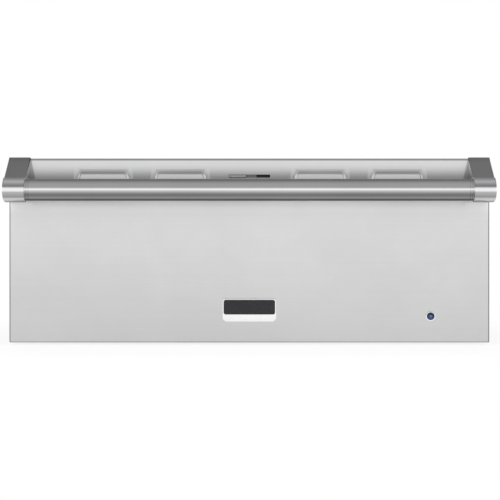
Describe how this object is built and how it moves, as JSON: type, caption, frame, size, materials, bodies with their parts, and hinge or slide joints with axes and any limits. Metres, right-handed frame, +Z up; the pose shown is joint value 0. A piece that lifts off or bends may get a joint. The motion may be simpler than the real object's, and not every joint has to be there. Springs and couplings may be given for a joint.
{
  "type": "warming drawer",
  "caption": "Built-in warming drawer: insulated heated case, drawer box with lift-out pan on telescopic slides, louvred front with sliding vent and tube handle.",
  "frame": {"origin": "bottom centre of the whole closed drawer's bounding box, on the floor under the skids", "axes": "+X to the right seen from the front, +Y from the front to the back, so the drawer opens along -Y, +Z up"},
  "size_m": [0.673, 0.679, 0.2627],
  "materials": {
    "brushed_stainless": "horizontally brushed stainless steel, satin",
    "handle_steel": "finely turned stainless tube, brushed around its length",
    "bracket_casting": "satin cast and ground stainless",
    "bare_steel": "mill-finish stainless sheet",
    "galvanised": "galvanised sheet with a soft spangle",
    "screw_steel": "bright zinc-plated",
    "badge_metal": "satin plated rim",
    "badge_enamel": "smooth black enamel",
    "bezel_metal": "polished ring",
    "lens_blue": "dark blue tinted lens",
    "lamp_plastic": "moulded nylon",
    "seal_rubber": "soft black silicone",
    "mineral_wool": "compressed mineral wool",
    "pan_steel": "drawn stainless, fine satin",
    "knob_plastic": "moulded black thermoset with a white pointer line",
    "thermostat_metal": "plated steel housing",
    "copper": "drawn copper",
    "slide_zinc": "blue-white zinc-plated steel",
    "cage_brass": "stamped, yellow passivated",
    "ball_steel": "polished bearing steel",
    "rod_incoloy": "dark oxidised heater sheath",
    "ceramic": null,
    "black_nylon": "black moulded nylon"
  },
  "bodies": {
    "chassis": {"front_frame": "bare_steel", "heated_liner": "bare_steel", "outer_wrap": "galvanised", "base_pan": "galvanised", "base_skids": "galvanised", "back_cover": "galvanised", "case_screws": "screw_steel", "insulation_pads": "mineral_wool", "heating_element": "rod_incoloy", "element_clips": "bare_steel", "element_bushes": "ceramic", "limit_thermostat": "black_nylon", "liner_grommet": "seal_rubber", "terminal_box": "galvanised", "terminal_block": "ceramic", "cord_gland": "black_nylon", "slide_outer_left": "slide_zinc", "slide_outer_right": "slide_zinc", "slide_outer_rivets": "screw_steel"},
    "drawer": {"front_skin": "brushed_stainless", "inner_panel": "brushed_stainless", "front_insulation": "mineral_wool", "door_seal": "seal_rubber", "handle_tube": "handle_steel", "handle_bracket_left": "bracket_casting", "handle_bracket_right": "bracket_casting", "handle_screws": "screw_steel", "handle_set_screws": "screw_steel", "badge_plate": "badge_metal", "badge_inlay": "badge_enamel", "indicator_bezel": "bezel_metal", "indicator_lens": "lens_blue", "indicator_lamp": "lamp_plastic", "vent_guide": "bare_steel", "vent_guide_rivets": "screw_steel", "drawer_screws": "screw_steel", "drawer_box": "bare_steel", "food_pan": "pan_steel", "control_ledge": "brushed_stainless", "thermostat": "thermostat_metal", "thermostat_nut": "screw_steel", "thermostat_bulb": "copper", "bulb_clips": "bare_steel", "drawer_grommet": "seal_rubber", "slide_inner_left": "slide_zinc", "slide_inner_right": "slide_zinc", "slide_inner_rivets": "screw_steel"},
    "vent_slider": {"vent_shutter": "bare_steel", "vent_tab": "badge_metal", "vent_tab_rivets": "screw_steel"},
    "temperature_knob": {"control_knob": "knob_plastic", "thermostat_shaft": "screw_steel"},
    "slide_middles": {"slide_middle_left": "slide_zinc", "slide_middle_right": "slide_zinc"},
    "outer_bearings": {"outer_cage_left": "cage_brass", "outer_cage_right": "cage_brass", "outer_balls": "ball_steel"},
    "inner_bearings": {"inner_cage_left": "cage_brass", "inner_cage_right": "cage_brass", "inner_balls": "ball_steel"}
  },
  "joints": [
    {"name": "drawer_slide", "type": "slide", "parent": "chassis", "child": "drawer", "axis": [0, -1, 0], "range_m": [0, 0.48]},
    {"name": "middle_slide", "type": "slide", "parent": "chassis", "child": "slide_middles", "axis": [0, -1, 0], "range_m": [0, 0.24]},
    {"name": "outer_bearing_slide", "type": "slide", "parent": "chassis", "child": "outer_bearings", "axis": [0, -1, 0], "range_m": [0, 0.12]},
    {"name": "inner_bearing_slide", "type": "slide", "parent": "chassis", "child": "inner_bearings", "axis": [0, -1, 0], "range_m": [0, 0.36]},
    {"name": "vent_slide", "type": "slide", "parent": "drawer", "child": "vent_slider", "axis": [1, 0, 0], "range_m": [0, 0.033]},
    {"name": "temperature_turn", "type": "hinge", "parent": "drawer", "child": "temperature_knob", "pos_m": [0.2, -0.2255, 0.2], "axis": [0, 0, -1], "range_deg": [0, 270]}
  ],
  "couplings": [
    {"joint": "middle_slide", "follows": "drawer_slide", "ratio": 0.5},
    {"joint": "outer_bearing_slide", "follows": "drawer_slide", "ratio": 0.25},
    {"joint": "inner_bearing_slide", "follows": "drawer_slide", "ratio": 0.75}
  ]
}
